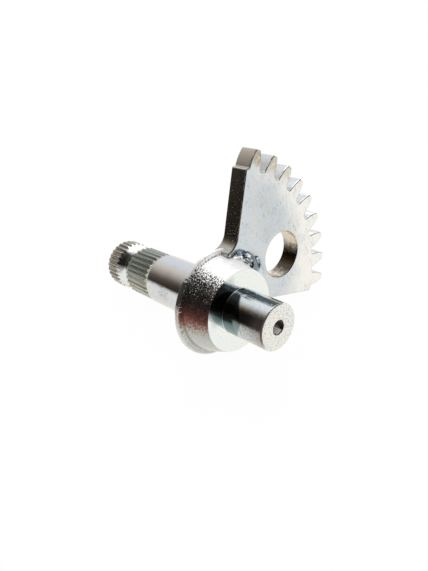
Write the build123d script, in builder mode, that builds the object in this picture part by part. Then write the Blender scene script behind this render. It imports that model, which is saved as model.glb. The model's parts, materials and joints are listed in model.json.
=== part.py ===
from build123d import *
import os
from math import acos, asin, atan2, cos, degrees, hypot, pi, radians, sin, sqrt, tan

os.makedirs("parts", exist_ok=True)

# Places along the shaft: 0 is the collar's front face, and the plain journal points along +z.
journal_d = 12.0
journal_len = 12.6
journal_chamfer = 0.3
shaft_d = 14.0
collar_face_d = 21.3
collar_body_d = 25.4
rim_height = 1.5
rim_front_z = -7.3
rim_thickness = 0.9
rim_front_round = 0.5
rim_rear_round = 0.3
collar_belly = 0.3
neck_round = 0.6

# The serrated end, measured from the shaft's end: an end ring, a round groove for the lever's pinch
# bolt, and the serrations, on a length that is turned a little thinner so that it passes the bearing.
shaft_end_z = -49.0
serrated_d = 13.6
serrated_len = 18.6
serration_count = 28
serration_depth = 0.6
serration_runout = 1.3
serration_cut_over = 0.02
end_ring_width = 4.7
groove_width = 4.9
groove_r = 3.2
end_round = 0.7

# A centre hole in each end of the shaft.
centre_hole_d = 3.8
centre_hole_depth = 3.5
drill_point_angle = 118.0

# The toothed sector: a plate with nine teeth of a gear that would have 37.
module = 2.0
full_circle_teeth = 37
sector_teeth = 9
dedendum = 1.4 * module
pressure_angle = 20.0
tip_round = 0.35
root_round = 0.5
sector_front_z = -4.65
sector_thickness = 4.9
middle_tooth_angle = 12.25
lower_edge_angle = -31.7
lower_edge_offset = 0.5
upper_edge_angle = 57.5
upper_edge_offset = 0.8
hole_d = 12.7
hole_centre_r = 22.2
seat_clearance = 0.05
horn_thickness = 0.75
horn_round = 4.2
horn_end_angles = (-39.5, 65.0)

# The weld bead fills the corner between the sector's front face and the collar's cone. It starts thin,
# has its full size for four scallops and tails off. Each share is a scallop's size against a full one.
bead_r = 2.6
bead_first_angle = 56.0
bead_step_angle = 6.0
bead_shares = (0.4, 0.5, 0.72, 1, 1, 1, 1, 0.9, 0.78, 0.66, 0.58, 0.52, 0.48, 0.46, 0.44, 0.42)

shaft_r = shaft_d / 2
rim_r = collar_body_d / 2 + rim_height
rim_rear_z = rim_front_z - rim_thickness
sector_rear_z = sector_front_z - sector_thickness
serrated_r = serrated_d / 2
serration_front_z = shaft_end_z + serrated_len
step_z = serration_front_z + serration_runout
groove_rear_z = shaft_end_z + end_ring_width
groove_front_z = groove_rear_z + groove_width
seat_r = collar_body_d / 2 + seat_clearance
horn_r = seat_r + horn_thickness
pitch_r = full_circle_teeth * module / 2
base_r = pitch_r * cos(radians(pressure_angle))
tip_r = pitch_r + module
root_r = pitch_r - dedendum
tooth_pitch = 360 / full_circle_teeth


def polar(r, angle):
    return (r * cos(radians(angle)), r * sin(radians(angle)))


def edge_point(r, angle, offset):
    """The point at radius r on a straight edge that runs at this angle, this far off the shaft's axis."""
    along = sqrt(r * r - offset * offset)
    x, y = polar(along, angle)
    return (x + offset * sin(radians(angle)), y - offset * cos(radians(angle)))


def half_tooth(r):
    """Half the angle that one involute tooth takes up at radius r, in degrees."""
    at_r = acos(min(1, base_r / r))
    at_pitch = radians(pressure_angle)
    return degrees(pi / (2 * full_circle_teeth) + tan(at_pitch) - at_pitch - tan(at_r) + at_r)


# The part lies on the collar's rim, on the shaft's serrated end and on a corner of the sector.
# tilt is how far the journal end rises, and roll is how far the sector's hole stands above level.
rest_run = rim_rear_z - shaft_end_z + rim_rear_round - end_round
rest_drop = (rim_r - rim_rear_round) - (serrated_r - end_round)
tilt = atan2(rest_drop, rest_run) - asin((end_round - rim_rear_round) / hypot(rest_run, rest_drop))


def roll_onto(point, z):
    """The roll at which this outline point of the sector comes down to the surface."""
    reach = rim_r - tan(tilt) * (rim_rear_z + rim_rear_round - z)
    return -atan2(point[1], point[0]) - asin(reach / hypot(*point))


last_tooth_angle = middle_tooth_angle - (sector_teeth - 1) / 2 * tooth_pitch
lower_corner = edge_point(root_r, lower_edge_angle, lower_edge_offset)
last_tooth_corner = polar(tip_r - tip_round, last_tooth_angle - half_tooth(tip_r))
roll = max(roll_onto(lower_corner, sector_rear_z), roll_onto(last_tooth_corner, sector_rear_z))

axis_dir = Vector(cos(tilt), 0, sin(tilt))
hole_dir = Vector(-sin(tilt) * sin(roll), cos(roll), cos(tilt) * sin(roll))
shaft_plane = Plane(origin=(0, 0, 0), x_dir=hole_dir, z_dir=axis_dir)
profile_plane = Plane(origin=(0, 0, 0), x_dir=axis_dir, z_dir=hole_dir)
shaft_axis = Axis((0, 0, 0), axis_dir)

# Turned shaft: the profile is drawn with the place along the axis first and the radius second.
with BuildPart() as splined_shaft:
    with BuildSketch(profile_plane) as turned_profile:
        with BuildLine():
            groove_sag = groove_r - sqrt(groove_r**2 - (groove_width / 2) ** 2)
            Polyline(
                (shaft_end_z, 0),
                (journal_len, 0),
                (journal_len, journal_d / 2),
                (0, journal_d / 2),
                (0, collar_face_d / 2),
            )
            ThreePointArc(
                (0, collar_face_d / 2),
                (rim_front_z / 2, (collar_face_d + collar_body_d) / 4 + collar_belly),
                (rim_front_z, collar_body_d / 2),
            )
            Polyline(
                (rim_front_z, collar_body_d / 2),
                (rim_front_z, rim_r),
                (rim_rear_z, rim_r),
                (rim_rear_z, shaft_r),
                (step_z, shaft_r),
                (step_z, serrated_r),
                (groove_front_z, serrated_r),
            )
            ThreePointArc(
                (groove_front_z, serrated_r),
                (groove_front_z - groove_width / 2, serrated_r - groove_sag),
                (groove_rear_z, serrated_r),
            )
            Polyline((groove_rear_z, serrated_r), (shaft_end_z, serrated_r), (shaft_end_z, 0))
        make_face()

        def corners(z, r):
            return turned_profile.vertices().filter_by(lambda v: abs(v.X - z) + abs(v.Y - r) < 1e-4)

        chamfer(corners(journal_len, journal_d / 2), journal_chamfer)
        fillet(corners(rim_front_z, rim_r), rim_front_round)
        fillet(corners(rim_rear_z, rim_r), rim_rear_round)
        fillet(corners(rim_rear_z, shaft_r), neck_round)
        fillet(corners(shaft_end_z, serrated_r), end_round)
    revolve(axis=shaft_axis)

    # V-shaped serrations, cut from the end inwards.
    serration_root_r = serrated_r - serration_depth
    with BuildSketch(shaft_plane.offset(shaft_end_z)):
        with PolarLocations(0, serration_count):
            reach_out = serration_depth + serration_cut_over
            Polygon(
                (serration_root_r, 0),
                (serration_root_r + reach_out, -reach_out),
                (serration_root_r + reach_out, reach_out),
                align=None,
            )
    extrude(amount=step_z - shaft_end_z, mode=Mode.SUBTRACT)

    # The cutter runs out here, so the valleys rise to full size on a short cone.
    with BuildSketch(profile_plane):
        Polygon(
            (serration_front_z, serration_root_r),
            (step_z, serrated_r),
            (step_z, serrated_r / 2),
            (serration_front_z, serrated_r / 2),
            align=None,
        )
    revolve(axis=shaft_axis)

    # Centre holes with a drill point.
    point_len = centre_hole_d / 2 / tan(radians(drill_point_angle / 2))
    with BuildSketch(profile_plane):
        for end_z, inwards in ((journal_len, -1), (shaft_end_z, 1)):
            Polygon(
                (end_z, 0),
                (end_z, centre_hole_d / 2),
                (end_z + inwards * centre_hole_depth, centre_hole_d / 2),
                (end_z + inwards * (centre_hole_depth + point_len), 0),
                align=None,
            )
    revolve(axis=shaft_axis, mode=Mode.SUBTRACT)

# One tooth, pointing along x, with involute flanks drawn as arcs through three points.
with BuildSketch() as tooth:
    with BuildLine():
        middle_r = (base_r + tip_r) / 2
        Line(polar(root_r - 1, -half_tooth(base_r)), polar(base_r, -half_tooth(base_r)))
        ThreePointArc(
            polar(base_r, -half_tooth(base_r)),
            polar(middle_r, -half_tooth(middle_r)),
            polar(tip_r, -half_tooth(tip_r)),
        )
        ThreePointArc(polar(tip_r, -half_tooth(tip_r)), (tip_r, 0), polar(tip_r, half_tooth(tip_r)))
        ThreePointArc(
            polar(tip_r, half_tooth(tip_r)),
            polar(middle_r, half_tooth(middle_r)),
            polar(base_r, half_tooth(base_r)),
        )
        Line(polar(base_r, half_tooth(base_r)), polar(root_r - 1, half_tooth(base_r)))
        Line(polar(root_r - 1, half_tooth(base_r)), polar(root_r - 1, -half_tooth(base_r)))
    make_face()

# Stamped sector: a wedge with teeth, a round hole, and two short horns that hold the collar.
with BuildPart() as gear_sector:
    with BuildSketch(shaft_plane.offset(sector_rear_z)) as sector_outline:
        upper_corner = edge_point(root_r, upper_edge_angle, upper_edge_offset)
        lower_foot = edge_point(lower_edge_offset, lower_edge_angle, lower_edge_offset)
        upper_foot = edge_point(upper_edge_offset, upper_edge_angle, upper_edge_offset)
        with BuildLine():
            Line(lower_foot, lower_corner)
            ThreePointArc(lower_corner, polar(root_r, middle_tooth_angle), upper_corner)
            Line(upper_corner, upper_foot)
            Line(upper_foot, lower_foot)
        make_face()
        with PolarLocations(0, sector_teeth, last_tooth_angle, sector_teeth * tooth_pitch):
            add(tooth.sketch)

        def at_radius(r):
            return sector_outline.vertices().filter_by(lambda v: abs(hypot(v.X, v.Y) - r) < 1e-3)

        fillet(at_radius(tip_r), tip_round)
        fillet(at_radius(root_r), root_round)
        Circle(horn_r)
        fillet(at_radius(horn_r), horn_round)
        Circle(seat_r, mode=Mode.SUBTRACT)
        with Locations((hole_centre_r, 0)):
            Circle(hole_d / 2, mode=Mode.SUBTRACT)
        # The horns end square, a little before they would run out to nothing.
        Polygon(
            (0, 0),
            polar(4 * horn_r, horn_end_angles[1]),
            polar(4 * horn_r, 150),
            polar(4 * horn_r, -130),
            polar(4 * horn_r, horn_end_angles[0]),
            align=None,
            mode=Mode.SUBTRACT,
        )
    extrude(amount=sector_thickness)
    # A recess in the rear face takes the collar's rim.
    with BuildSketch(shaft_plane.offset(sector_rear_z)):
        Circle(rim_r)
    extrude(amount=rim_front_z - sector_rear_z, mode=Mode.SUBTRACT)


def cone_r(z):
    """The collar's radius at this place along its slightly bellied cone."""
    share = z / rim_front_z
    straight = (collar_face_d + (collar_body_d - collar_face_d) * share) / 2
    return straight + 4 * collar_belly * share * (1 - share)


# Weld bead: overlapping scallops along the seam. A full one climbs the cone, and a thin one lies lower
# and further out, where the gap to the sector's seat is.
with BuildPart() as weld_bead:
    for k, share in enumerate(bead_shares):
        scallop_r = bead_r * share
        scallop_z = sector_front_z + scallop_r * (0.05 + 0.55 * share)
        out_r = cone_r(sector_front_z) + scallop_r * (1.06 - 1.25 * share)
        x, y = polar(out_r, bead_first_angle - bead_step_angle * k)
        with Locations(shaft_plane.from_local_coords((x, y, scallop_z))):
            Sphere(scallop_r)
    add(splined_shaft.part, mode=Mode.SUBTRACT)
    add(gear_sector.part, mode=Mode.SUBTRACT)

splined_shaft.part.label = "splined_shaft"
gear_sector.part.label = "gear_sector"
weld_bead.part.label = "weld_bead"
export_step(splined_shaft.part, "parts/splined_shaft.step")
export_step(gear_sector.part, "parts/gear_sector.step")
export_step(weld_bead.part, "parts/weld_bead.step")
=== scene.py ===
import json
from math import asin, atan2, cos, degrees, hypot, pi, radians, sin, sqrt, tan

import bmesh
import bpy
import numpy as np
from mathutils import Matrix, Vector
from mathutils.geometry import tessellate_polygon


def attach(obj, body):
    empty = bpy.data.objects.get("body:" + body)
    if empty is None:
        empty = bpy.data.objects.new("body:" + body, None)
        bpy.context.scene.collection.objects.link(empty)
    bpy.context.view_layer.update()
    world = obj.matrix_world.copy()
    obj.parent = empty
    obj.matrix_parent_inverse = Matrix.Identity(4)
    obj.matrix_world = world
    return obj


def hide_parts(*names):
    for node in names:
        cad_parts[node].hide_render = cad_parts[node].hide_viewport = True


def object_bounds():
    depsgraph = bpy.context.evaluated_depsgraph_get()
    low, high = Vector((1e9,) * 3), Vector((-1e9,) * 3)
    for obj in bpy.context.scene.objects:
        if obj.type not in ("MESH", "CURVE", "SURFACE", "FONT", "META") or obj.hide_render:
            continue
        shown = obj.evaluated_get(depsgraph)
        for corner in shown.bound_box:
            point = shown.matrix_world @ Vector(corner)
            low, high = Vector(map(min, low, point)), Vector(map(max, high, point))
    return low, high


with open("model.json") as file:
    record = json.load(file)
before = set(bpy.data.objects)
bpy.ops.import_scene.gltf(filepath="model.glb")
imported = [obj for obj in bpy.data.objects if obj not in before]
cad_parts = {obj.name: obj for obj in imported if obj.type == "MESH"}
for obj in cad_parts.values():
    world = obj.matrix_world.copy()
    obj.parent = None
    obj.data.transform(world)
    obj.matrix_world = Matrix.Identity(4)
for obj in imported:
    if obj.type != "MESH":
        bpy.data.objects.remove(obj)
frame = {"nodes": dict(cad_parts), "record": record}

cad_box = [list(corner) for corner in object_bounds()]

# The turned shaft, one bar of steel: a journal with a centre hole in its end, a collar that widens in a
# cone to a thin lip, a plain bearing length, and a serrated end with a round groove for the pinch bolt
# of its lever. It is turned, the serrations are cut by a hob, and the whole bar is zinc plated.
MM = 0.001
mounts = {mount["name"]: mount for mount in frame["record"]["mounts"]}
axis = Vector(mounts["journal"]["axis"]).normalized()
towards_hole = Vector(mounts["sector_hole"]["pos_m"])
towards_hole = (towards_hole - axis * towards_hole.dot(axis)).normalized()
# Lengths below are in millimetres on the shaft's own axes: x to the sector's hole, z along the shaft.
as_it_lies = Matrix((towards_hole, axis.cross(towards_hole), axis)).transposed()

journal_len, journal_r, journal_chamfer, journal_root_round = 12.6, 6.0, 0.3, 0.12
chamfer_front_break, chamfer_rear_break = 0.04, 0.08
face_r = 10.65
cone_len, cone_r, cone_belly = 7.3, 12.7, 0.3
lip_r, lip_thickness, lip_front_round, lip_rear_round = 14.2, 0.9, 0.5, 0.3
shaft_r, neck_round, step_break = 7.0, 0.6, 0.05
step_z, serration_front_z, end_z = -29.1, -30.4, -49.0
serrated_r, serration_root_r, serration_count = 6.8, 6.2, 28
groove_front_z, groove_rear_z, groove_r = -39.4, -44.3, 3.2
end_round = 0.7
centre_hole_r, centre_hole_depth, drill_half_angle = 1.9, 3.5, 59
edge_break, hair = 0.1, 0.001
cone_steps, runout_steps, groove_steps, steps_per_serration = 14, 8, 16, 14


def arc_points(centre, r, first, last, count):
    """Points on an arc in the (z, r) plane, angles in degrees."""
    angles = (radians(first + (last - first) * k / count) for k in range(count + 1))
    return [(centre[0] + r * cos(a), centre[1] + r * sin(a)) for a in angles]


def rounded(corners, steps=6):
    """A line through (z, r, rounding) corners, with each rounding made of short steps."""
    line = []
    for k, (z, r, rounding) in enumerate(corners):
        here = Vector((z, r))
        if not rounding or k in (0, len(corners) - 1):
            line.append(here)
            continue
        back = (Vector(corners[k - 1][:2]) - here).normalized()
        on = (Vector(corners[k + 1][:2]) - here).normalized()
        half = back.angle(on) / 2
        reach = rounding / tan(half)
        centre = here + (back + on).normalized() * rounding / sin(half)
        first, last = here + back * reach - centre, here + on * reach - centre
        turn = first.angle_signed(last)
        for step in range(steps + 1):
            line.append(centre + Matrix.Rotation(-turn * step / steps, 2) @ first)
    return line


def new_object(name, shape, closed=True, smooth=True):
    """Makes a bmesh shape an object of the scene. The faces of a closed shape are turned outwards."""
    if closed:
        bmesh.ops.recalc_face_normals(shape, faces=shape.faces)
    mesh = bpy.data.meshes.new(name)
    shape.to_mesh(mesh)
    shape.free()
    if smooth:
        mesh.shade_smooth()
    piece = bpy.data.objects.new(name, mesh)
    bpy.context.scene.collection.objects.link(piece)
    return piece


def lathed(name, line, segments):
    """Turns a line of (z, r) points, in millimetres, about the shaft's axis. Its ends close on the axis."""
    shape = bmesh.new()
    rings = []
    for z, r in line:
        if r < 1e-6:
            rings.append([shape.verts.new(as_it_lies @ Vector((0, 0, z)) * MM)])
            continue
        turns = (2 * pi * k / segments for k in range(segments))
        rings.append([shape.verts.new(as_it_lies @ Vector((r * cos(a), r * sin(a), z)) * MM) for a in turns])
    for one, other in zip(rings, rings[1:]):
        for k in range(segments):
            corners = [one[k % len(one)], one[(k + 1) % len(one)], other[(k + 1) % len(other)], other[k % len(other)]]
            shape.faces.new(list(dict.fromkeys(corners)))
    return new_object(name, shape)


drill_len = centre_hole_r / tan(radians(drill_half_angle))
cone_chord = hypot(cone_len, cone_r - face_r)
cone_curve_r = cone_chord**2 / 8 / cone_belly + cone_belly / 2
cone_middle = Vector((-cone_len / 2, (face_r + cone_r) / 2))
cone_slope = atan2(cone_r - face_r, cone_len)
cone_centre = cone_middle - Vector((sin(cone_slope), cos(cone_slope))) * (cone_curve_r - cone_belly)
cone_angle = 90 - degrees(cone_slope)
cone_half = degrees(asin(cone_chord / 2 / cone_curve_r))
cone_arc = arc_points(cone_centre, cone_curve_r, cone_angle - cone_half, cone_angle + cone_half, cone_steps)
groove_half = (groove_front_z - groove_rear_z) / 2
groove_centre = ((groove_front_z + groove_rear_z) / 2, serrated_r + sqrt(groove_r**2 - groove_half**2))
groove_turn = degrees(asin(groove_half / groove_r))
groove_arc = arc_points(groove_centre, groove_r, 270 + groove_turn, 270 - groove_turn, groove_steps)
runout_len = serration_front_z - step_z
turned_line = [
    (journal_len - centre_hole_depth - drill_len, 0, 0),
    (journal_len - centre_hole_depth, centre_hole_r, 0),
    (journal_len, centre_hole_r, edge_break),
    (journal_len, journal_r - journal_chamfer, chamfer_front_break),
    (journal_len - journal_chamfer, journal_r, chamfer_rear_break),
    (0, journal_r, journal_root_round),
    (0, face_r, edge_break),
    *((z, r, 0) for z, r in cone_arc[1:]),
    (-cone_len, lip_r, lip_front_round),
    (-cone_len - lip_thickness, lip_r, lip_rear_round),
    (-cone_len - lip_thickness, shaft_r, neck_round),
    (step_z, shaft_r, step_break),
    (step_z, serrated_r + hair, 0),
    *((step_z + runout_len * k / runout_steps, serrated_r, 0) for k in range(1, runout_steps + 1)),
    *((z, r, 0) for z, r in groove_arc),
    (end_z, serrated_r, end_round),
    (end_z, centre_hole_r, edge_break),
    (end_z + centre_hole_depth, centre_hole_r, 0),
    (end_z + centre_hole_depth + drill_len, 0, 0),
]
turned = lathed("turned_shaft", rounded(turned_line), serration_count * steps_per_serration)


def wire(tree, kind, inputs=(), **settings):
    """Adds a node to a tree and sets or links its inputs, given by name or by number."""
    made = tree.nodes.new(kind)
    for setting, value in settings.items():
        setattr(made, setting, value)
    for key, value in dict(inputs).items():
        if isinstance(value, bpy.types.NodeSocket):
            tree.links.new(value, made.inputs[key])
        else:
            made.inputs[key].default_value = value
    return made


def maths(tree, operation, *values):
    return wire(tree, "ShaderNodeMath", enumerate(values), operation=operation).outputs[0]


def times(tree, *values):
    product = values[0]
    for value in values[1:]:
        product = maths(tree, "MULTIPLY", product, value)
    return product


def vector_maths(tree, operation, *values):
    """As maths, for vectors. A dot product gives a plain number."""
    keys = (0, "Scale") if operation == "SCALE" else (0, 1)
    results = wire(tree, "ShaderNodeVectorMath", zip(keys, values), operation=operation).outputs
    return results["Value" if operation == "DOT_PRODUCT" else "Vector"]


def from_axis(tree, x, y):
    """The distance from the shaft's axis."""
    return maths(tree, "SQRT", maths(tree, "ADD", *(maths(tree, "POWER", side, 2.0) for side in (x, y))))


def ramp(tree, value, low, high, first=0.0, last=1.0, ease="LINEAR"):
    """Runs from first, where the value is low, to last, where it is high, and stays level beyond both."""
    limits = {"From Min": low, "From Max": high, "To Min": first, "To Max": last}
    return wire(tree, "ShaderNodeMapRange", {"Value": value, **limits}, interpolation_type=ease).outputs[0]


def slope(tree, value, low, high, first=0.0, last=1.0):
    """A ramp that starts and ends softly."""
    return ramp(tree, value, low, high, first, last, "SMOOTHSTEP")


def shaping_tree(name, inputs):
    """A Geometry Nodes tree with geometry in and out, and a named input of its kind for each size and finish."""
    tree = bpy.data.node_groups.new(name, "GeometryNodeTree")
    for way in ("INPUT", "OUTPUT"):
        tree.interface.new_socket("Geometry", in_out=way, socket_type="NodeSocketGeometry")
    for title, kind in inputs.items():
        tree.interface.new_socket(title, in_out="INPUT", socket_type="NodeSocket" + kind)
    return tree


def end_tree(tree, geometry, finish, where=True):
    """Ends a tree with Realize Instances and Set Material."""
    real = wire(tree, "GeometryNodeRealizeInstances", {"Geometry": geometry}).outputs[0]
    inputs = {"Geometry": real, "Selection": where, "Material": finish}
    wire(tree, "NodeGroupOutput", {"Geometry": wire(tree, "GeometryNodeSetMaterial", inputs).outputs[0]})


def apply_tree(piece, tree, values):
    """Runs a Geometry Nodes tree on a piece and keeps the plain mesh that it gives."""
    modifier = piece.modifiers.new(tree.name, "NODES")
    modifier.node_group = tree
    for socket in tree.interface.items_tree:
        if socket.in_out == "INPUT" and socket.name in values:
            modifier[socket.identifier] = values[socket.name]
    evaluated = piece.evaluated_get(bpy.context.evaluated_depsgraph_get())
    finished = bpy.data.meshes.new_from_object(evaluated)
    piece.modifiers.remove(modifier)
    plain, piece.data = piece.data, finished
    finished.name = piece.name
    bpy.data.meshes.remove(plain)


# The hob's V-shaped valleys, pressed into the lathed bar: a point keeps its angle and moves inwards.
hobbed = shaping_tree("hobbed_serrations", {
    "Serrations": "Int", "Root Radius": "Float", "Tip Radius": "Float", "Runout Front": "Float", "Step": "Float",
    "Softness": "Float", "Finish": "Material"})
given = hobbed.nodes.new("NodeGroupInput").outputs
position = wire(hobbed, "GeometryNodeInputPosition").outputs[0]
x, y, z = (vector_maths(hobbed, "DOT_PRODUCT", position, tuple(as_it_lies.col[k] / MM)) for k in range(3))
reach = from_axis(hobbed, x, y)
half_pitch = maths(hobbed, "DIVIDE", pi, given["Serrations"])
off_valley = maths(hobbed, "PINGPONG", maths(hobbed, "ARCTAN2", y, x), half_pitch)
flank = maths(hobbed, "SUBTRACT", maths(hobbed, "COSINE", off_valley), maths(hobbed, "SINE", off_valley))
valley = maths(hobbed, "DIVIDE", given["Root Radius"], flank)
runout_rise = ramp(hobbed, z, given["Runout Front"], given["Step"], given["Root Radius"], given["Tip Radius"])
cut = maths(hobbed, "SMOOTH_MAX", valley, runout_rise, given["Softness"])
new_reach = maths(hobbed, "MINIMUM", maths(hobbed, "SMOOTH_MIN", reach, cut, given["Softness"]), reach)
share = maths(hobbed, "DIVIDE", new_reach, maths(hobbed, "MAXIMUM", reach, 1e-6))
along = vector_maths(hobbed, "SCALE", tuple(axis * MM), z)
across = vector_maths(hobbed, "SUBTRACT", position, along)
moved = vector_maths(hobbed, "ADD", vector_maths(hobbed, "SCALE", across, share), along)
behind_step = wire(hobbed, "FunctionNodeCompare", {0: z, 1: given["Step"]}, data_type="FLOAT",
                   operation="LESS_THAN").outputs[0]
cut_bar = wire(hobbed, "GeometryNodeSetPosition", {"Geometry": given["Geometry"], "Selection": behind_step,
                                                   "Position": moved}).outputs[0]
end_tree(hobbed, cut_bar, given["Finish"], behind_step)


def noise(tree, place, size, detail=2.0, roughness=0.6):
    inputs = {"Vector": place, "Scale": 1 / size, "Detail": detail, "Roughness": roughness}
    return wire(tree, "ShaderNodeTexNoise", inputs).outputs["Fac"]


def stretched(tree, place, turn, scale):
    """Turns and stretches the place of a pattern, so that its marks run one way."""
    return wire(tree, "ShaderNodeMapping", {"Vector": place, "Rotation": turn, "Scale": scale}).outputs[0]


def blended(tree, amount, under, over, how="MIX"):
    """Lays an amount of one colour over another."""
    inputs = {"Factor": amount, 6: under, 7: over}
    return wire(tree, "ShaderNodeMix", inputs, data_type="RGBA", blend_type=how).outputs[2]


def broad_drift(tree, place):
    """The broad, slow drift of the plating's tone."""
    return noise(tree, place, drift_size, 3.0, 0.55)


drift_size = 1 / 0.22
drift_ends = ((0.3, (0.4, -0.1, -1.2)), (0.7, (-0.8, 0.1, 0.6)))
pit_edge, pit_dark, pit_colour = 0.06, 0.6, (0.12, 0.11, 0.10, 1)
speckle_low, speckle_high = 0.35, 0.6
uneven_low, uneven_high, smoother, rougher = 0.3, 0.7, 0.8, 1.25


def zinc(name, tint, roughness, grain, film, peel=None, pits=None, rings=None, drift=0.05, speckle=0.0):
    """Bright zinc plate. grain is pairs of size and height in millimetres, peel is size and depth, pits are size,
    depth and how rare they are, and rings are the spacing and depth of the turning marks. film gives its stains and
    its painted light and shade."""
    material = bpy.data.materials.new(name)
    material.use_nodes = True
    tree = material.node_tree
    shader = tree.nodes["Principled BSDF"]
    shader.inputs["Metallic"].default_value = 1
    here = wire(tree, "ShaderNodeTexCoord").outputs["Object"]
    place = stretched(tree, here, as_it_lies.transposed().to_euler(), (1 / MM,) * 3)
    height = 0.0
    for size, depth in grain:
        fine = noise(tree, place, size)
        height = maths(tree, "ADD", height, times(tree, fine, depth))
    if peel:
        cells = wire(tree, "ShaderNodeTexVoronoi", {"Vector": place, "Scale": 1 / peel[0], "Randomness": 1.0})
        height = maths(tree, "ADD", height, times(tree, cells.outputs["Distance"], peel[1]))
    # The passivation drifts between faintly warm and faintly blue.
    drifting = wire(tree, "ShaderNodeValToRGB", {"Fac": broad_drift(tree, place)})
    for stop, (where, lean) in zip(drifting.color_ramp.elements, drift_ends):
        stop.position = where
        stop.color = (*(min(1, c * (1 + drift * w)) for c, w in zip(tint, lean)), 1)
    colour = drifting.outputs["Color"]
    if pits:
        size, depth, rare = pits
        pit = slope(tree, noise(tree, place, size, 3.0, 0.7), rare, rare + pit_edge)
        height = maths(tree, "SUBTRACT", height, times(tree, pit, depth))
        colour = blended(tree, times(tree, pit, pit_dark), colour, pit_colour)
    if rings:
        spacing, depth = rings
        along = wire(tree, "ShaderNodeSeparateXYZ", {"Vector": place}).outputs["Z"]
        line = wire(tree, "ShaderNodeTexNoise", {"W": maths(tree, "DIVIDE", along, spacing), "Scale": 1.0,
                                                 "Detail": 3.0}, noise_dimensions="1D").outputs["Fac"]
        height = maths(tree, "ADD", height, times(tree, line, depth))
    if speckle:
        spots = ramp(tree, fine, speckle_low, speckle_high, 1 - speckle)
        colour = blended(tree, 1.0, colour, spots, "MULTIPLY")
    metal = 1.0
    for amount, layer_colour, matt in film(tree, place):
        colour = blended(tree, amount, colour, (*layer_colour, 1))
        metal = times(tree, metal, maths(tree, "SUBTRACT", 1.0, times(tree, amount, matt)))
    uneven = ramp(tree, fine, uneven_low, uneven_high, roughness * smoother, roughness * rougher)
    bump = wire(tree, "ShaderNodeBump", {"Height": height, "Distance": MM, "Strength": 1.0}).outputs[0]
    for socket, value in (("Metallic", metal), ("Base Color", colour), ("Roughness", uneven), ("Normal", bump)):
        tree.links.new(value, shader.inputs[socket])
    return material


def window(tree, value, low, rise, fall, high):
    """Rises from 0 at low to 1 at rise, and falls from 1 at fall to 0 at high."""
    return times(tree, slope(tree, value, low, rise), slope(tree, value, fall, high, 1.0, 0.0))


def leaning(tree, base, other, share):
    """The base value, moved by a share of how far another value is from a half."""
    return maths(tree, "ADD", base, times(tree, maths(tree, "SUBTRACT", other, 0.5), share))


def round_shaft(tree, place):
    """The distance from the shaft's axis, the angle about it in degrees and the height along it. The angle is 0
    at the sector's hole, 90 at the top and 180 across from the hole, and jumps from 270 to -90 at the bottom."""
    x, y, z = wire(tree, "ShaderNodeSeparateXYZ", {"Vector": place}).outputs
    angle = maths(tree, "ARCTAN2", times(tree, x, -1.0), y)
    return from_axis(tree, x, y), maths(tree, "ADD", times(tree, angle, degrees(1)), 90.0), z


# Stains and films, and painted light and shade. Each is a list of layers: how much of it there is, its colour, and how
# much it hides the metal.
def journal_stains_and_painted_reflections(tree, place):
    """Painted dark reflections: near-black from the journal's root up along its top over a painted dark band, and a
    painted teal reflection past it. Brown specks past it, and a warm tone near the end."""
    _, angle, z = round_shaft(tree, place)
    past = maths(tree, "SUBTRACT", angle, 100.0)
    rough_edge = leaning(tree, angle, noise(tree, place, 0.7, 3.0), 26.0)
    # The near-black here, the top stripe, the teal and the band are painted dark reflections.
    painted_dark_reflection = times(tree, slope(tree, maths(tree, "SUBTRACT", z, times(tree, past, 0.063)), 2.8, 3.6, 1.0, 0.0),
                 window(tree, rough_edge, 84.0, 90.0, 138.0, 150.0), 0.97)
    lie = stretched(tree, place, (0.5, 0.9, 0.3), (3.0, 3.0, 0.35))
    streaky = slope(tree, noise(tree, lie, 1.0, 4.0, 0.65), 0.47, 0.51)
    at_root = times(tree, window(tree, rough_edge, 62.0, 68.0, 92.0, 100.0), slope(tree, z, 1.6, 3.0, 1.0, 0.0))
    painted_dark_reflection = maths(tree, "MAXIMUM", painted_dark_reflection, times(tree, at_root, slope(tree, streaky, 0.0, 1.0, 0.2, 0.95)))
    painted_top_reflection = times(tree, window(tree, angle, 50.0, 58.0, 88.0, 96.0), slope(tree, z, 3.5, 7.5, 1.0, 0.0),
                     streaky, 0.95)
    specks = times(tree, window(tree, angle, 148.0, 154.0, 188.0, 215.0), slope(tree, z, 4.8, 5.6),
                   slope(tree, noise(tree, place, 0.4, 2.0, 0.7), 0.44, 0.58), 0.7)
    painted_teal_reflection = times(tree, slope(tree, maths(tree, "ADD", z, times(tree, past, 0.047)), 8.3, 8.8, 1.0, 0.0),
                 window(tree, angle, 147.0, 154.0, 198.0, 208.0), 0.85)
    painted_dark_band = times(tree, window(tree, rough_edge, 112.0, 128.0, 146.0, 152.0), 0.8)
    warm = times(tree, slope(tree, z, 7.0, 12.4), window(tree, angle, 100.0, 150.0, 190.0, 230.0),
                 broad_drift(tree, place), 0.9)
    return [(painted_dark_band, (0.16, 0.12, 0.10), 0.0), (painted_dark_reflection, (0.02, 0.02, 0.02), 0.05),
            (painted_top_reflection, (0.03, 0.034, 0.034), 0.1), (painted_teal_reflection, (0.17, 0.27, 0.27), 0.0),
            (specks, (0.30, 0.28, 0.26), 0.2), (warm, (0.28, 0.19, 0.14), 0.4)]


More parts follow.
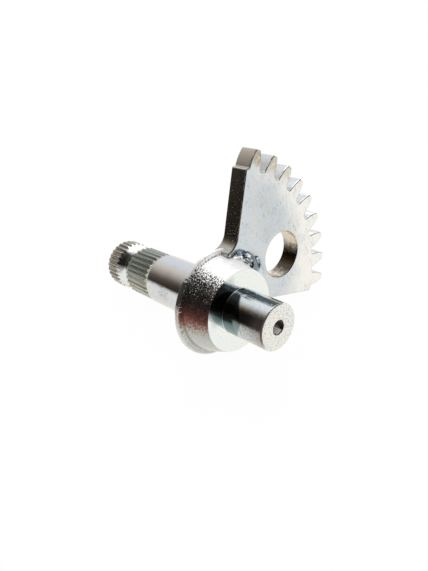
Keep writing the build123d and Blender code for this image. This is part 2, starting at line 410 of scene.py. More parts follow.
def face_painted_reflections(tree, place):
    """Painted reflections on the collar's front face: dark grey over the top, and teal in a patch on each side of it.
    """
    reach, angle, _ = round_shaft(tree, place)
    rough_edge = leaning(tree, angle, noise(tree, place, 1.0, 3.0), 16.0)
    # All three are painted reflections: dark grey, and teal in the streak and the patch.
    painted_dark_reflection = times(tree, window(tree, rough_edge, 92.0, 104.0, 136.0, 144.0), 0.85)
    painted_streak_reflection = times(tree, window(tree, angle, 76.0, 88.0, 96.0, 100.0), window(tree, reach, 6.6, 7.6, 9.6, 10.6), 0.4)
    painted_patch_reflection = times(tree, window(tree, angle, 130.0, 148.0, 156.0, 176.0), slope(tree, reach, 7.6, 10.6, 1.0, 0.0), 0.6)
    return [(painted_dark_reflection, (0.10, 0.10, 0.10), 0.0), (painted_streak_reflection, (0.24, 0.35, 0.36), 0.0), (painted_patch_reflection, (0.22, 0.32, 0.32), 0.0)]


def end_stains(tree, place):
    """Brown handling marks on one side of the end face's chamfer."""
    reach, angle, _ = round_shaft(tree, place)
    rim = times(tree, window(tree, angle, 92.0, 115.0, 172.0, 205.0),
                slope(tree, leaning(tree, reach, noise(tree, place, 0.6), 0.5), 5.45, 5.7), 0.85)
    return [(rim, (0.12, 0.065, 0.05), 0.4)]


def painted_hole_highlight(tree, place):
    """A painted highlight: a white spot low in the centre hole, near its mouth."""
    _, angle, z = round_shaft(tree, place)
    # The lowest part of the wall is at both ends of the angle's range.
    spot = maths(tree, "MAXIMUM", slope(tree, angle, 235.0, 252.0), slope(tree, angle, -66.0, -54.0, 1.0, 0.0))
    # The white spot is a painted highlight.
    return [(times(tree, spot, window(tree, z, 9.6, 10.4, 12.1, 12.4)), (1.0, 1.0, 1.0), 0.95)]


def cone_stains_and_painted_light(tree, place):
    """A painted highlight in white specks over a painted near-black reflection on the top of the collar's cone, and
    below it a dark brown band with painted pale glints, a red film, a buff edge and dull plating."""
    _, angle, _ = round_shaft(tree, place)
    specks = noise(tree, place, 0.34)
    mottle = noise(tree, place, 0.625, 3.0)
    rough_edge = leaning(tree, angle, mottle, 30.0)
    # The white specks are a painted highlight, the near-black under them a painted reflection, and the pale dots
    # painted glints.
    painted_highlight_specks = window(tree, leaning(tree, angle, specks, 85.0), -60.0, -20.0, 100.0, 103.0)
    painted_dark_reflection = times(tree, window(tree, rough_edge, 76.0, 88.0, 112.0, 128.0), 0.95)
    brown = times(tree, window(tree, rough_edge, 112.0, 126.0, 154.0, 166.0),
                  slope(tree, specks, 0.3, 0.55, 0.7, 1.0), 0.9)
    painted_glint_dots = times(tree, window(tree, angle, 84.0, 98.0, 122.0, 140.0),
                 slope(tree, noise(tree, place, 0.3, 1.0), 0.63, 0.67), 0.8)
    red = times(tree, window(tree, leaning(tree, angle, mottle, 40.0), 134.0, 156.0, 162.0, 174.0),
                slope(tree, specks, 0.35, 0.55, 0.3, 1.0), 0.85)
    dull = times(tree, window(tree, leaning(tree, angle, mottle, 36.0), 152.0, 166.0, 290.0, 300.0),
                 slope(tree, specks, 0.36, 0.58, 0.05, 0.5))
    buff = times(tree, window(tree, rough_edge, 148.0, 158.0, 172.0, 182.0), slope(tree, specks, 0.35, 0.6), 0.7)
    return [(painted_dark_reflection, (0.02, 0.018, 0.018), 0.1), (painted_highlight_specks, (0.98, 0.98, 0.98), 0.9), (dull, (0.40, 0.39, 0.34), 0.5),
            (buff, (0.40, 0.33, 0.24), 0.3), (brown, (0.055, 0.018, 0.013), 0.1), (painted_glint_dots, (0.75, 0.75, 0.74), 0.7),
            (red, (0.25, 0.058, 0.038), 0.5)]


def lip_wear_and_painted_light(tree, place):
    """The lip is scuffed pale, with painted light that whitens it towards the sector, brown grime in its grain,
    painted shade in the seam at the cone, and a painted brown and then near-black reflection past the top."""
    reach, angle, _ = round_shaft(tree, place)
    rough_edge = leaning(tree, angle, noise(tree, place, 0.5, 3.0), 30.0)
    # Painted light whitens the lip towards the sector.
    white = times(tree, slope(tree, angle, 128.0, 96.0), 0.9)
    grime = times(tree, slope(tree, noise(tree, place, 0.5, 3.0, 0.7), 0.56, 0.64), 0.4)
    # Painted reflection, brown and then near-black past the top, and painted shade in the seam at the cone.
    brown = times(tree, window(tree, rough_edge, 82.0, 92.0, 112.0, 124.0), 0.45)
    painted_seam_shade = times(tree, window(tree, reach, 12.5, 12.7, 12.95, 13.2),
                 window(tree, rough_edge, 25.0, 50.0, 112.0, 122.0), 0.7)
    painted_dark_reflection = times(tree, window(tree, rough_edge, 112.0, 120.0, 142.0, 152.0), 0.95)
    return [(0.75, (0.84, 0.83, 0.80), 0.8), (white, (0.97, 0.97, 0.98), 0.6), (grime, (0.30, 0.24, 0.19), 0.5),
            (brown, (0.30, 0.27, 0.25), 0.6), (painted_seam_shade, (0.16, 0.13, 0.12), 0.4), (painted_dark_reflection, (0.02, 0.018, 0.017), 0.2)]


def shaft_stains_and_painted_shade(tree, place):
    """Beige towards the sector, then painted shade past the top in a warm grey and a brown tone, pale wear below
    that, and a few scratches in it."""
    _, angle, z = round_shaft(tree, place)
    beige = times(tree, slope(tree, angle, 58.0, 40.0), 0.6)
    # Painted shade past the top: a warm grey and then a dark brown tone.
    warm = times(tree, window(tree, leaning(tree, angle, broad_drift(tree, place), 20.0),
                              82.0, 98.0, 106.0, 126.0), 0.8)
    tone = times(tree, window(tree, leaning(tree, angle, noise(tree, place, 2.5, 3.0), 12.0),
                              96.0, 130.0, 141.0, 146.0), 0.75)
    under = times(tree, slope(tree, leaning(tree, angle, noise(tree, place, 0.8, 3.0), 10.0), 152.0, 190.0),
                  slope(tree, angle, 250.0, 210.0), 0.3)
    wear = times(tree, slope(tree, angle, 146.0, 150.0),
                 slope(tree, noise(tree, place, 0.6, 3.0), 0.4, 0.6, 0.2, 0.6))
    lie = stretched(tree, place, (0.2, 1.1, 0.4), (0.7, 4.0, 4.0))
    scratch = times(tree, slope(tree, noise(tree, lie, 1.0, 3.0), 0.55, 0.58),
                    window(tree, angle, 146.0, 150.0, 166.0, 174.0), window(tree, z, -24.5, -23.5, -20.5, -19.0), 0.85)
    return [(beige, (0.62, 0.57, 0.50), 0.2), (warm, (0.50, 0.46, 0.41), 0.55), (tone, (0.16, 0.125, 0.10), 0.0),
            (under, (0.42, 0.39, 0.34), 0.2), (wear, (0.86, 0.855, 0.82), 0.8), (scratch, (0.10, 0.09, 0.08), 0.4)]


shaft_looks = {
    "end_face_finish": dict(tint=(0.97, 0.98, 0.98), roughness=0.2, grain=((0.35, 0.03),), peel=(0.45, 0.03),
                            pits=(0.33, 0.02, 0.585), speckle=0.3, film=end_stains),
    "journal_finish_and_painted_reflections": dict(tint=(0.64, 0.69, 0.73), roughness=0.08, grain=((0.4, 0.008),), rings=(0.12, 0.0012),
                           pits=(0.4, 0.006, 0.6), film=journal_stains_and_painted_reflections),
    "front_face_finish_and_painted_reflections": dict(tint=(0.88, 0.925, 0.945), roughness=0.06, grain=((0.5, 0.003),),
                              pits=(0.4, 0.006, 0.61), film=face_painted_reflections),
    "cone_finish_and_painted_light": dict(tint=(0.60, 0.62, 0.62), roughness=0.07, grain=((0.45, 0.03),), peel=(0.5, 0.02),
                        pits=(0.4, 0.012, 0.62), film=cone_stains_and_painted_light),
    "lip_finish_and_painted_light": dict(tint=(0.64, 0.64, 0.61), roughness=0.18, grain=((0.4, 0.04),), pits=(0.4, 0.015, 0.64),
                       film=lip_wear_and_painted_light),
    "shaft_finish_and_painted_shade": dict(tint=(0.585, 0.615, 0.69), roughness=0.05, grain=((0.5, 0.003),), rings=(0.3, 0.001),
                         pits=(0.45, 0.008, 0.66), film=shaft_stains_and_painted_shade),
    "hole_finish_and_painted_highlight": dict(tint=(0.30, 0.26, 0.23), roughness=0.15, grain=((0.3, 0.02),), film=painted_hole_highlight),
}
for name, look in shaft_looks.items():
    turned.data.materials.append(zinc(name, **look))
shaft_finish_number = {name: k for k, name in enumerate(shaft_looks)}
hole_mouth, far_face, journal_foot, face_back = 0.05, 0.02, 0.06, -0.03
in_break, in_chamfer = 0.4, 0.6


def finish_at(z, r):
    """The finish at this height and radius. Each limit lies in the rounding between two finishes."""
    if r < centre_hole_r + edge_break * in_break and end_z + hole_mouth < z < journal_len - hole_mouth:
        return "hole_finish_and_painted_highlight"
    if z > journal_len - journal_chamfer * in_chamfer or z < end_z + far_face:
        return "end_face_finish"
    downwards = ((journal_foot, "journal_finish_and_painted_reflections"), (face_back, "front_face_finish_and_painted_reflections"), (-cone_len, "cone_finish_and_painted_light"),
                 (-cone_len - lip_thickness - neck_round, "lip_finish_and_painted_light"))
    return next((name for lowest, name in downwards if z > lowest), "shaft_finish_and_painted_shade")


for face in turned.data.polygons:
    centre = as_it_lies.transposed() @ face.center / MM
    face.material_index = shaft_finish_number[finish_at(centre.z, hypot(centre.x, centre.y))]

tips_width, groove_fade, runout_start, step_fade = 0.1, 0.3, 0.2, 0.3


def serration_stains_and_painted_light(tree, place):
    """Grey-green grime that stays in the valleys, painted shade on one side and painted light on another, a brown
    tone on the last ring, and a painted highlight on the groove and the run-out, with painted shade in the groove."""
    reach, angle, z = round_shaft(tree, place)
    deep = times(tree, slope(tree, reach, serration_root_r, serrated_r - tips_width, 0.5, 0.0), 0.8)
    # Painted shade on one side and painted light on the lower side.
    shade = times(tree, window(tree, angle, 80.0, 104.0, 134.0, 150.0), 0.65)
    painted_pale_side = times(tree, slope(tree, angle, 140.0, 165.0), 0.6)
    last_ring = times(tree, slope(tree, z, groove_rear_z - groove_fade, groove_rear_z, 1.0, 0.0), 0.45)
    # Painted highlight on the groove and the run-out, and painted shade in the groove.
    painted_groove_highlight = window(tree, z, groove_rear_z - groove_fade, groove_rear_z, groove_front_z, groove_front_z + groove_fade)
    groove_shade = times(tree, painted_groove_highlight, shade, 1.6)
    rough_z = leaning(tree, z, noise(tree, place, 0.6), 0.8)
    painted_runout_highlight = times(tree, window(tree, rough_z, serration_front_z - runout_start, serration_front_z,
                                step_z - step_fade, step_z), 0.8)
    return [(deep, (0.25, 0.29, 0.27), 0.3), (shade, (0.10, 0.11, 0.085), 0.2), (painted_pale_side, (0.60, 0.58, 0.50), 0.3),
            (last_ring, (0.50, 0.43, 0.36), 0.3), (painted_groove_highlight, (0.88, 0.89, 0.88), 0.3),
            (groove_shade, (0.03, 0.027, 0.024), 0.0), (painted_runout_highlight, (0.66, 0.62, 0.53), 0.6)]


behind_edge, valley_softness = 0.01, 0.3
serration_finish_and_painted_light = zinc("serration_finish_and_painted_light", (0.34, 0.37, 0.355), 0.24, ((0.4, 0.03),), serration_stains_and_painted_light, speckle=0.15)
apply_tree(turned, hobbed, {"Serrations": serration_count, "Root Radius": serration_root_r, "Tip Radius": serrated_r,
                            "Runout Front": serration_front_z, "Step": step_z - behind_edge,
                            "Softness": valley_softness, "Finish": serration_finish_and_painted_light})
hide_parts("splined_shaft")
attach(turned, "root")

# The gear sector, blanked from 4.9 mm steel plate with its teeth, its round hole and the horn that
# hooks over the collar. The press rolls the front edges over and leaves a small burr break behind.
sector_front_z, sector_thickness = -4.65, 4.9
rolled_width, rolled_depth, rolled_steps = 0.32, 0.30, 5
rear_break, support = 0.12, 0.03
hole_centre_x, hole_wall_r = 22.2, 6.35
seat_r, seat_fade = 12.8, 0.4
tooth_foot_r, sharp_turn, corner_limit = 31.5, 32, 0.75
hole_slack, burr_round = 0.5, 0.3


def outline_loops(node, z):
    """The closed outlines of a CAD node's flat face at this height, in millimetres, the longest first. The
    material is on their left."""
    mesh = node.data
    places = [as_it_lies.transposed() @ v.co / MM for v in mesh.vertices]
    keys = [(round(p.x, 3), round(p.y, 3)) for p in places]
    mesh.calc_loop_triangles()
    edges = set()
    for triangle in mesh.loop_triangles:
        if all(abs(places[k].z - z) < hair for k in triangle.vertices):
            a, b, c = (keys[k] for k in triangle.vertices)
            edges ^= {(a, b), (b, c), (c, a)}
    onwards = {a: b for a, b in edges if (b, a) not in edges}
    loops = []
    while onwards:
        first, here = onwards.popitem()
        loop = [first]
        while here != first:
            loop.append(here)
            here = onwards.pop(here)
        loops.append([Vector(p) for p in loop])
    return sorted(loops, key=len, reverse=True)


def inward(loop):
    """For each point of an outline, the way into the material and the turn there, in degrees. The way is
    stretched at a corner, so that the straight runs beside it move by one."""
    ways = []
    for k, here in enumerate(loop):
        back = (here - loop[k - 1]).normalized()
        on = (loop[(k + 1) % len(loop)] - here).normalized()
        way = Vector((-back.y - on.y, back.x + on.x)).normalized()
        stretch = max(corner_limit, way.dot(Vector((-on.y, on.x))))
        ways.append((way / stretch, degrees(back.angle(on))))
    return ways


def face_wear(tree, place):
    """Cream bloom outwards and low on the plate, a faint pink patch, a brown tone on the upper teeth, a heat tint
    past the weld, and scratches."""
    x, y, _ = wire(tree, "ShaderNodeSeparateXYZ", {"Vector": place}).outputs
    reach, angle, _ = round_shaft(tree, place)
    mottle = noise(tree, place, 3.0, 4.0, 0.65)
    outwards = leaning(tree, maths(tree, "SUBTRACT", reach, times(tree, angle, 0.12)), mottle, 10.0)
    pale = times(tree, slope(tree, outwards, 24.0, 34.0), 0.9)
    pink = times(tree, window(tree, x, 15.0, 20.0, 24.0, 29.0), window(tree, y, 4.0, 9.0, 19.0, 24.0), mottle, 0.45)
    brown = times(tree, window(tree, angle, 14.0, 50.0, 60.0, 70.0),
                  slope(tree, leaning(tree, reach, mottle, 4.0), 33.5, 37.0),
                  slope(tree, noise(tree, place, 1.2, 3.0), 0.3, 0.6, 0.5, 1.0), 0.9)
    heat = times(tree, window(tree, reach, 10.0, 11.5, 14.0, 16.5), window(tree, angle, -8.0, 8.0, 30.0, 45.0), 0.6)
    clouds = slope(tree, noise(tree, place, 5.0, 2.0), 0.4, 0.6)
    scratches = []
    for turn, rare in ((0.6, 0.62), (2.1, 0.63), (-0.5, 0.64)):
        lie = stretched(tree, place, (0, 0, turn), (7.0, 0.5, 1.0))
        line = slope(tree, noise(tree, lie, 1.0, 3.0, 0.55), rare, rare + 0.04)
        scratches.append((times(tree, line, clouds, 0.75), (0.26, 0.27, 0.29), 0.2))
    return [(pale, (0.97, 0.97, 0.94), 0.15), (pink, (0.48, 0.49, 0.53), 0.1), (brown, (0.42, 0.35, 0.24), 0.1),
            (heat, (0.42, 0.52, 0.57), 0.2), *scratches]


def painted_wall_glints(tree, place):
    """Painted glints: small bright specks on the sheared edge, more of them towards the horn."""
    reach, _, _ = round_shaft(tree, place)
    rare = slope(tree, reach, 26.0, 17.0, 0.7, 0.65)
    # The bright specks are painted glints.
    painted_glint = slope(tree, maths(tree, "SUBTRACT", noise(tree, place, 0.35, 1.0), rare), 0.0, 0.03)
    return [(times(tree, painted_glint, slope(tree, reach, 15.0, 17.0), 0.4), (0.5, 0.47, 0.42), 0.8)]


def rust_and_painted_hole_shade(tree, place):
    """Rust, and painted dark brown shade on the lower side of the hole's wall. Angles are about the hole's centre."""
    x, y, _ = wire(tree, "ShaderNodeSeparateXYZ", {"Vector": place}).outputs
    angle = maths(tree, "ARCTAN2", y, maths(tree, "SUBTRACT", x, hole_centre_x))
    angle = leaning(tree, times(tree, angle, degrees(1)), noise(tree, place, 1.2, 3.0), 40.0)
    rust = times(tree, slope(tree, angle, -40.0, -90.0), slope(tree, noise(tree, place, 0.8, 3.0), 0.42, 0.58), 0.7)
    # Painted shade on the lower side of the hole's wall.
    shade = times(tree, window(tree, angle, -112.0, -76.0, -34.0, 6.0), 0.93)
    return [(rust, (0.36, 0.22, 0.16), 0.1), (shade, (0.045, 0.032, 0.026), 0.0)]


def edge_grime_and_painted_shade(tree, place):
    """Dark brown grime along the rolled edge of the upper teeth, painted shade on the edge in the crevice at the weld,
    and a faint film elsewhere.
    """
    reach, angle, _ = round_shaft(tree, place)
    grime = times(tree, window(tree, angle, 12.0, 30.0, 80.0, 90.0), slope(tree, reach, 30.0, 33.0),
                  slope(tree, noise(tree, place, 1.3, 3.0), 0.4, 0.56, 0.1, 1.0), 0.75)
    faint = times(tree, slope(tree, noise(tree, place, 1.0, 3.0), 0.45, 0.6), 0.35)
    # Painted shade on the rolled edge in the crevice where the plate meets the collar.
    painted_crevice_shade = times(tree, slope(tree, reach, 18.5, 16.5), slope(tree, angle, 20.0, 30.0), 0.9)
    return [(grime, (0.11, 0.078, 0.058), 0.4), (faint, (0.35, 0.32, 0.28), 0.3), (painted_crevice_shade, (0.05, 0.045, 0.04), 0.4)]


def flank_tone(tree, place):
    """The first tooth's outer flank is browner than the rest."""
    reach, angle, _ = round_shaft(tree, place)
    return [(times(tree, slope(tree, angle, 50.0, 53.0), slope(tree, reach, 33.6, 34.6), 0.75),
             (0.42, 0.34, 0.27), 0.5)]


sector_looks = {
    "sector_finish": dict(tint=(0.68, 0.73, 0.79), roughness=0.16, grain=((2.5, 0.02), (0.5, 0.008)),
                          pits=(0.42, 0.008, 0.62), drift=0.06, speckle=0.06, film=face_wear),
    "sheared_finish_and_painted_glints": dict(tint=(0.50, 0.47, 0.44), roughness=0.1, grain=((0.5, 0.006),), peel=(0.8, 0.005),
                           speckle=0.3, film=painted_wall_glints),
    "hole_wall_finish_and_painted_shade": dict(tint=(0.82, 0.70, 0.61), roughness=0.14, grain=((0.9, 0.09), (0.4, 0.03)), drift=0.3,
                             speckle=0.25, film=rust_and_painted_hole_shade),
    "edge_finish_and_painted_shade": dict(tint=(0.70, 0.72, 0.73), roughness=0.2, grain=((0.5, 0.02),), film=edge_grime_and_painted_shade),
    "flank_finish": dict(tint=(0.62, 0.64, 0.66), roughness=0.25, grain=((0.5, 0.02),), pits=(0.4, 0.01, 0.66),
                         film=flank_tone),
}
sector_finish_number = {name: k for k, name in enumerate(sector_looks)}


def edge_finish_at(around_hole, level, reach):
    """The finish of a face on the plate's edge, this far from the shaft's axis."""
    if around_hole:
        return "hole_wall_finish_and_painted_shade"
    if level < rolled_steps:
        return "edge_finish_and_painted_shade"
    return "flank_finish" if reach > tooth_foot_r else "sheared_finish_and_painted_glints"


quarter = [radians(90 * k / rolled_steps) for k in range(rolled_steps + 1)]
levels = [(rolled_width * (1 - sin(a)), rolled_depth * (1 - cos(a))) for a in quarter]
levels += [(0, rolled_depth + support), (0, sector_thickness - rear_break - support),
           (0, sector_thickness - rear_break),
           (rear_break * burr_round, sector_thickness - rear_break * burr_round), (rear_break, sector_thickness)]
blank = bmesh.new()
caps = ([], [])
for loop in outline_loops(frame["nodes"]["gear_sector"], sector_front_z):
    ways = inward(loop)
    # Where the plate sits on the collar its edge is sharp, so that no gap shows along the seat.
    ways = [(way * min(1, max(0, (p.length - seat_r) / seat_fade)), turn) for p, (way, turn) in zip(loop, ways)]
    rings = []
    for inset, depth in levels:
        rings.append([blank.verts.new(as_it_lies @ Vector((*(p + way * inset), sector_front_z - depth)) * MM)
                      for p, (way, _) in zip(loop, ways)])
    around_hole = all(abs((p - Vector((hole_centre_x, 0))).length - hole_wall_r) < hole_slack for p in loop)
    for level, (one, other) in enumerate(zip(rings, rings[1:])):
        for k in range(len(loop)):
            after = (k + 1) % len(loop)
            wall = blank.faces.new((one[k], other[k], other[after], one[after]))
            wall.smooth = True
            nearest = min(loop[k].length, loop[after].length)
            wall.material_index = sector_finish_number[edge_finish_at(around_hole, level, nearest)]
            if ways[k][1] > sharp_turn:
                blank.edges.get((one[k], other[k])).smooth = False
    caps[0].append(rings[0])
    caps[1].append(rings[-1])
for cap in caps:
    corners = [vert for ring in cap for vert in ring]
    flat = [[as_it_lies.transposed() @ vert.co / MM for vert in ring] for ring in cap]
    for triangle in tessellate_polygon(flat):
        blank.faces.new([corners[k] for k in triangle])
plate = new_object("stamped_sector", blank, smooth=False)
for name, look in sector_looks.items():
    plate.data.materials.append(zinc(name, **look))
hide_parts("gear_sector")
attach(plate, "root")

# The weld bead that fixes the sector to the collar, laid by hand from the horn downwards: two or three
# heavy overlapping lobes, then finer ripples that run out to nothing. It is plated with the rest.
bead_first, bead_last = 59.0, -33.0
toe_on_plate, toe_on_cone, bead_crown = 2.1, 4.2, 0.95
bead_shares = ((0.0, 0.0), (0.04, 0.2), (0.10, 0.3), (0.14, 0.5), (0.18, 0.9), (0.30, 1.0), (0.40, 0.86),
               (0.55, 0.66), (0.7, 0.48), (0.85, 0.3), (1.0, 0.0))
thinnest, sunk, root_inwards, root_behind = 0.015, 0.04, 0.15, 0.1
steps_along, steps_across, off_the_bead = 220, 30, 9.0


def cone_at(z):
    """The cone's radius at this height."""
    return cone_centre[1] + sqrt(cone_curve_r**2 - (z - cone_centre[0]) ** 2)


corner_r = cone_at(sector_front_z)
bead = bmesh.new()
rings, along, across, shares = [], [], [], []
for i in range(steps_along + 1):
    u = i / steps_along
    share = float(np.interp(u, *zip(*bead_shares))) + thinnest
    angle = radians(bead_first + (bead_last - bead_first) * u)
    on_plate = Vector((corner_r + toe_on_plate * share, sector_front_z - sunk))
    cone_z = sector_front_z + toe_on_cone * share
    chord = Vector((cone_at(cone_z) - sunk, cone_z)) - on_plate
    out = Vector((chord.y, -chord.x)).normalized()
    section = [on_plate + chord * k / steps_across
               + out * bead_crown * share * 4 * (k / steps_across) * (1 - k / steps_across)
               for k in range(steps_across + 1)]
    section.append(Vector((corner_r - root_inwards, sector_front_z - root_behind)))
    ring = []
    for k, (r, z) in enumerate(section):
        ring.append(bead.verts.new(as_it_lies @ Vector((r * cos(angle), r * sin(angle), z)) * MM))
        along.append(abs(bead_last - bead_first) * u * radians(1) * corner_r)
        across.append(2 * k / steps_across - 1 if k <= steps_across else off_the_bead)
        shares.append(share)
    rings.append(ring)
for one, other in zip(rings, rings[1:]):
    for k in range(len(one)):
        after = (k + 1) % len(one)
        bead.faces.new((one[k], one[after], other[after], other[k]))
bead.faces.new(rings[0])
bead.faces.new(rings[-1])
weld = new_object("weld_ripples", bead)
for name, values in (("along", along), ("across", across), ("share", shares)):
    weld.data.attributes.new(name, "FLOAT", "POINT").data.foreach_set("value", values)

# The lobes and ripples are lifted out of the smooth bead. They bow across it and fade out at its edges.
wander_scale, wander_reach = 420.0, 1.2
lobe_rise, lobe_fall = 0.18, 0.9
heavy_until, heavy_end = 5.0, 9.0
ripple_share, edge_power = 0.12, 4.0
rippled = shaping_tree("weld_ripples", {
    "Lobe Pitch": "Float", "Ripple Pitch": "Float", "Height": "Float", "Bow": "Float", "Seed": "Float",
    "Finish": "Material"})
given = rippled.nodes.new("NodeGroupInput").outputs
run, side, part = (wire(rippled, "GeometryNodeInputNamedAttribute", {"Name": name}, data_type="FLOAT").outputs[0]
                   for name in ("along", "across", "share"))
place = wire(rippled, "GeometryNodeInputPosition").outputs[0]
wander = wire(rippled, "ShaderNodeTexNoise", {"Vector": place, "W": given["Seed"], "Scale": wander_scale,
                                              "Detail": 1.0}, noise_dimensions="4D").outputs[0]
bowed = maths(rippled, "ADD", run, times(rippled, given["Bow"], times(rippled, side, side)))
bowed = maths(rippled, "ADD", bowed, times(rippled, wander, wander_reach))
within = maths(rippled, "FRACT", maths(rippled, "DIVIDE", bowed, given["Lobe Pitch"]))
lobes = times(rippled, slope(rippled, within, 0.0, lobe_rise),
              maths(rippled, "SUBTRACT", 1.0, times(rippled, within, within, lobe_fall)))
wave = times(rippled, pi, maths(rippled, "DIVIDE", bowed, given["Ripple Pitch"]))
fine = maths(rippled, "ABSOLUTE", maths(rippled, "SINE", wave))
heavy = slope(rippled, run, heavy_until, heavy_end, 1.0, 0.0)
both = maths(rippled, "ADD", times(rippled, lobes, heavy), times(rippled, fine, ripple_share))
near_edge = maths(rippled, "POWER", maths(rippled, "ABSOLUTE", side), edge_power)
edge_free = maths(rippled, "MAXIMUM", 0.0, maths(rippled, "SUBTRACT", 1.0, near_edge))
lift = times(rippled, times(rippled, both, given["Height"]), times(rippled, edge_free, part))
normal = wire(rippled, "GeometryNodeInputNormal").outputs[0]
offset = vector_maths(rippled, "SCALE", normal, times(rippled, lift, MM))
raised = wire(rippled, "GeometryNodeSetPosition", {"Geometry": given["Geometry"], "Offset": offset}).outputs[0]
end_tree(rippled, raised, given["Finish"])


def heat_tint(tree, place):
    """The bead's start is pale, its heavy lobes keep the slate tint of the finish, and its thin tail is pale blue."""
    _, angle, _ = round_shaft(tree, place)
    tail = times(tree, slope(tree, leaning(tree, angle, noise(tree, place, 1.0), 12.0), 34.0, 23.0), 0.95)
    start = times(tree, slope(tree, leaning(tree, angle, noise(tree, place, 0.7, 3.0), 40.0), 46.0, 49.0), 0.95)
    return [(tail, (0.72, 0.81, 0.85), 0.8), (start, (0.92, 0.93, 0.94), 0.6)]


weld_finish = zinc("weld_finish", (0.24, 0.28, 0.32), 0.1, ((0.5, 0.05),), heat_tint)
apply_tree(weld, rippled, {"Lobe Pitch": 3.0, "Ripple Pitch": 0.7, "Height": 0.8, "Bow": -1.4, "Seed": 3.0,
                           "Finish": weld_finish})
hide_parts("weld_bead")
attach(weld, "root")

# The floor, a pale sheet of paper. Camera and mirror rays see it as plain white, apart from the part's soft
# shadow. What the metal mirrors of it fades to dark towards the camera.
floor_z = cad_box[0][2]
floor_size = 4
white = (1, 1, 1, 1)


def towards(azimuth, elevation=0.0):
    """The direction of an azimuth and an elevation in degrees."""
    a, e = radians(azimuth), radians(elevation)
    return Vector((cos(e) * cos(a), cos(e) * sin(a), sin(e)))


camera_side = towards(-68)
sheet_fades, sheet_ends, beyond_sheet, plain_share = 0.012, 0.085, 0.05, 0.975
bpy.ops.mesh.primitive_plane_add(size=floor_size, location=(0, 0, floor_z))
floor = bpy.context.object
floor.name = "floor"
paper = bpy.data.materials.new("paper")
paper.use_nodes = True
tree = paper.node_tree
rays = wire(tree, "ShaderNodeLightPath").outputs
seen = maths(tree, "MAXIMUM", rays["Is Camera Ray"], rays["Is Glossy Ray"])
seen = maths(tree, "MAXIMUM", seen, rays["Is Transmission Ray"])
matt = wire(tree, "ShaderNodeBsdfDiffuse", {"Color": (0.9, 0.9, 0.88, 1)}).outputs[0]
where = wire(tree, "ShaderNodeTexCoord").outputs["Object"]
forward = vector_maths(tree, "DOT_PRODUCT", where, camera_side)
sheet = ramp(tree, forward, sheet_fades, sheet_ends, 1.0, beyond_sheet)
strength = maths(tree, "MAXIMUM", rays["Is Camera Ray"], sheet)
paper_seen = blended(tree, rays["Is Camera Ray"], (0.98, 0.95, 0.90, 1), white)
glow = wire(tree, "ShaderNodeEmission", {"Color": paper_seen, "Strength": strength}).outputs[0]
mixed = wire(tree, "ShaderNodeMixShader", {0: times(tree, seen, plain_share), 1: matt, 2: glow}).outputs[0]
tree.links.new(mixed, tree.nodes["Material Output"].inputs[0])
paper.cycles.emission_sampling = "NONE"
floor.data.materials.append(paper)

# The dark side of the studio, a tall curved card on the camera's side, which the metal mirrors and no camera
# sees. It is bent like part of a dome, white at its top and its sides, with a cool patch on the right. Matt
# surfaces see it as a plain pale wall.
card_r, card_foot, card_height, card_rows = 0.5, -8, 98, 24
card_start, card_end, card_step = -196, 104, 6
side_light, side_dark, top_light, top_dark = -0.5, 0.36, 0.97, 0.79
cool_azimuth, cool_from, cool_full, cool_heights = 48, 0.7, 0.85, (0.17, 0.27, 0.68, 0.8)
darkest, matt_wall, cool_tint = (0.028, 0.025, 0.022, 1), (0.85, 0.85, 0.84, 1), (0.15, 0.185, 0.19, 1)
card_tones = ((0.22, (0.84, 0.82, 0.78, 1)), (0.42, (0.6, 0.57, 0.51, 1)), (0.62, (0.32, 0.29, 0.24, 1)),
              (0.76, (0.155, 0.132, 0.105, 1)), (0.9, (0.08, 0.068, 0.055, 1)))
card = bmesh.new()
rows = []
for k in range(card_rows + 1):
    elevation = card_foot + card_height * k / card_rows
    rows.append([card.verts.new(towards(azimuth, elevation) * card_r)
                 for azimuth in range(card_start, card_end, card_step)])
for one, other in zip(rows, rows[1:]):
    for k in range(len(one) - 1):
        card.faces.new((one[k], one[k + 1], other[k + 1], other[k]))
dark_card = new_object("dark_card", card, closed=False)
room = bpy.data.materials.new("dark_room")
room.use_nodes = True
tree = room.node_tree
direction = vector_maths(tree, "NORMALIZE", wire(tree, "ShaderNodeTexCoord").outputs["Object"])
level_way = vector_maths(tree, "NORMALIZE", vector_maths(tree, "MULTIPLY", direction, (1, 1, 0)))
up = wire(tree, "ShaderNodeSeparateXYZ", {"Vector": direction}).outputs["Z"]
sideways = ramp(tree, vector_maths(tree, "DOT_PRODUCT", level_way, camera_side), side_light, side_dark)
dark = times(tree, sideways, ramp(tree, up, top_light, top_dark))
toned = wire(tree, "ShaderNodeValToRGB", {"Fac": dark})
stops = toned.color_ramp.elements
stops[0].color, stops[1].color = white, darkest
for where, tone in card_tones:
    stops.new(where).color = tone
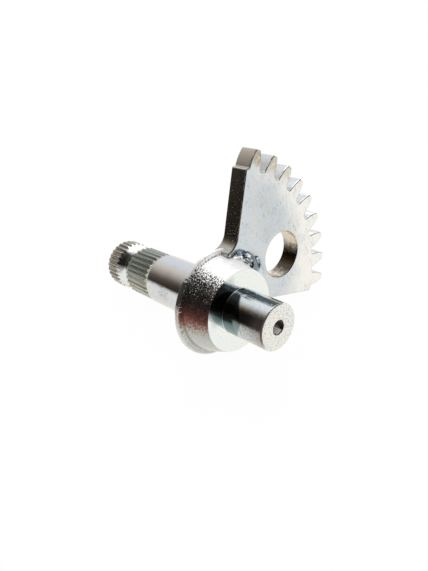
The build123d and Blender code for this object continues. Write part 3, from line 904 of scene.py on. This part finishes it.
cool_way = vector_maths(tree, "DOT_PRODUCT", level_way, towards(cool_azimuth))
cool_share = times(tree, ramp(tree, cool_way, cool_from, cool_full), window(tree, up, *cool_heights))
seen_wall = blended(tree, 1.0, toned.outputs["Color"], blended(tree, cool_share, white, cool_tint), "MULTIPLY")
seen_wall = blended(tree, wire(tree, "ShaderNodeLightPath").outputs["Is Diffuse Ray"], seen_wall, matt_wall)
wall = wire(tree, "ShaderNodeEmission", {"Color": seen_wall, "Strength": 1.0}).outputs[0]
tree.links.new(wall, tree.nodes["Material Output"].inputs[0])
room.cycles.emission_sampling = "NONE"
dark_card.data.materials.append(room)
dark_card.visible_camera = False

# Soft studio light: two round lamps behind the part, a large one high up and a small one low down, and a
# white world.
lamp_distance = 0.6


def round_lamp(name, size, power, azimuth, elevation):
    """A round lamp of this size in metres and power in watts, which points at the part."""
    lamp_data = bpy.data.lights.new(name, "AREA")
    lamp_data.shape, lamp_data.size, lamp_data.energy = "DISK", size, power
    lamp = bpy.data.objects.new(name, lamp_data)
    lamp.location = towards(azimuth, elevation) * lamp_distance
    lamp.rotation_euler = towards(azimuth, elevation).to_track_quat("Z", "Y").to_euler()
    bpy.context.scene.collection.objects.link(lamp)


round_lamp("box_light", 0.51, 1.45, 128, 62)
round_lamp("low_light", 0.22, 0.2, 119, 16)
world = bpy.data.worlds.new("studio")
bpy.context.scene.world = world
world.use_nodes = True
world.node_tree.nodes["Background"].inputs["Color"].default_value = white
world.node_tree.nodes["Background"].inputs["Strength"].default_value = 1

# The camera, above and in front of the journal's end. Its place, turn and lens were fitted to the photograph.
camera_data = bpy.data.cameras.new("camera")
camera_data.lens = 35.656
camera_data.sensor_width = 36
camera_data.clip_start = 0.01
camera = bpy.data.objects.new("camera", camera_data)
camera.location = (0.07336, -0.07249, 0.09442)
camera.rotation_euler = (radians(50.179), radians(3.821), radians(45.411))
bpy.context.scene.collection.objects.link(camera)
bpy.context.scene.camera = camera
bpy.context.scene.view_settings.view_transform = "Standard"
